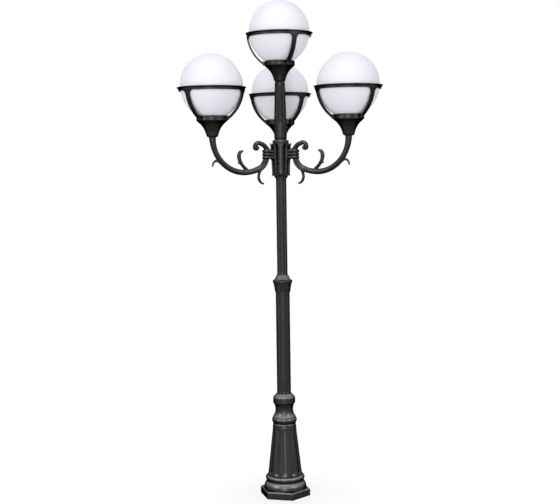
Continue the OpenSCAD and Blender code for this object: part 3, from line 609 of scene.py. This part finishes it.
def plain(name, dark, light, rough, metal=0.0, scale=60.0):
    """A cast, moulded or plated finish with slight variation."""
    n = Nodes(name)
    n.colour(n.ramp(n.noise(scale), [(0.3, dark), (0.7, light)]))
    n.rough(n.spread(n.noise(2 * scale), 0.3, 0.7, rough - 0.06, rough + 0.06))
    n.set(Metallic=metal)
    return n.material


def dress_nodes():
    """A finish on every CAD node, by the record's material slots."""
    finishes = {
        "black_paint": black_paint(),
        "opal_plastic": opal(),
        "steel": plain("steel", (0.05, 0.05, 0.052), (0.09, 0.09, 0.095), 0.4, 1.0),
        "gasket_rubber": plain("gasket_rubber", (0.02, 0.02, 0.02), (0.04, 0.04, 0.04), 0.8),
        "holder_plastic": plain("holder_plastic", (0.78, 0.77, 0.73), (0.85, 0.84, 0.8), 0.25),
        "terminal_plastic": plain("terminal_plastic", (0.74, 0.72, 0.66), (0.82, 0.8, 0.74), 0.5),
        "cap_brass": plain("cap_brass", (0.62, 0.48, 0.22), (0.76, 0.6, 0.3), 0.3, 1.0),
        "bulb_glass": plain("bulb_glass", (0.9, 0.9, 0.88), (0.95, 0.95, 0.93), 0.35),
        "cable_sheath": plain("cable_sheath", (0.03, 0.03, 0.03), (0.06, 0.06, 0.06), 0.6),
    }
    for part in frame["record"]["subparts"]:
        mesh = frame["nodes"][part["node"]].data
        mesh.materials.clear()
        mesh.materials.append(finishes[part["material_slot"]])
    return finishes


def add_area(name, place, target, size, power):
    """A soft rectangular lamp that looks at a target."""
    data = bpy.data.lights.new(name, "AREA")
    data.shape = "RECTANGLE"
    data.size, data.size_y = size
    data.energy = power
    lamp = bpy.data.objects.new(name, data)
    bpy.context.scene.collection.objects.link(lamp)
    lamp.location = place
    lamp.rotation_euler = (Vector(target) - Vector(place)).to_track_quat("-Z", "Y").to_euler()


def background_rays(tree):
    """1 for the rays that show the white background: seen straight, reflected or through glass."""
    path = tree.nodes.new("ShaderNodeLightPath")
    seen = path.outputs["Is Camera Ray"]
    for kind in ("Is Glossy Ray", "Is Transmission Ray"):
        either = tree.nodes.new("ShaderNodeMath")
        either.operation = "MAXIMUM"
        tree.links.new(seen, either.inputs[0])
        tree.links.new(path.outputs[kind], either.inputs[1])
        seen = either.outputs["Value"]
    return seen


def add_studio():
    """The lamps, and a world that looks white and lights softly, a little more from above."""
    for name, lamp in LAMPS.items():
        add_area(name, *lamp)

    world = bpy.data.worlds.new("studio")
    bpy.context.scene.world = world
    world.use_nodes = True
    tree = world.node_tree
    tree.nodes.clear()
    seen = background_rays(tree)
    ambient = tree.nodes.new("ShaderNodeBackground")
    ambient.inputs["Color"].default_value = WHITE
    split = tree.nodes.new("ShaderNodeSeparateXYZ")
    place = tree.nodes.new("ShaderNodeTexCoord")
    tree.links.new(place.outputs["Generated"], split.inputs["Vector"])
    sky = map_range(tree, split.outputs["Z"], SKY_FROM, 1.0, SKY_LOW, SKY_HIGH)
    tree.links.new(sky, ambient.inputs["Strength"])
    white = tree.nodes.new("ShaderNodeBackground")
    white.inputs["Color"].default_value = WHITE
    white.inputs["Strength"].default_value = 1.0
    mix = tree.nodes.new("ShaderNodeMixShader")
    tree.links.new(seen, mix.inputs["Fac"])
    tree.links.new(ambient.outputs["Background"], mix.inputs[1])
    tree.links.new(white.outputs["Background"], mix.inputs[2])
    output = tree.nodes.new("ShaderNodeOutputWorld")
    tree.links.new(mix.outputs["Shader"], output.inputs["Surface"])


def add_floor():
    """A pale floor that looks white and keeps a soft shade round the foot."""
    mesh = bpy.data.meshes.new("floor")
    corners = [(x * FLOOR_HALF, y * FLOOR_HALF, 0) for x, y in ((-1, -1), (1, -1), (1, 1), (-1, 1))]
    mesh.from_pydata(corners, [], [(0, 1, 2, 3)])
    floor = bpy.data.objects.new("floor", mesh)
    bpy.context.scene.collection.objects.link(floor)
    floor.location.z = -FLOOR_GAP
    n = Nodes("floor")
    n.set(Base_Color=FLOOR_GREY, Roughness=0.9)
    away = n.add("ShaderNodeVectorMath", operation="LENGTH")
    n.link(n.place, away.inputs[0])
    white = n.add("ShaderNodeEmission")
    share = n.add("ShaderNodeMath", operation="MULTIPLY")
    fade = n.spread(away.outputs["Value"], SHADE_IN, SHADE_OUT, SHADE_WHITE, 1.0)
    n.link(fade, share.inputs[0])
    n.link(background_rays(n.tree), share.inputs[1])
    mix = n.add("ShaderNodeMixShader")
    n.link(share.outputs["Value"], mix.inputs["Fac"])
    n.link(n.shader.outputs["BSDF"], mix.inputs[1])
    n.link(white.outputs["Emission"], mix.inputs[2])
    n.link(mix.outputs["Shader"], n.output.inputs["Surface"])
    mesh.materials.append(n.material)


bpy.context.scene.view_settings.view_transform = "Standard"
add_camera()
finishes = dress_nodes()
add_arms(finishes["black_paint"])
add_hub(finishes["black_paint"])
add_studio()
add_floor()
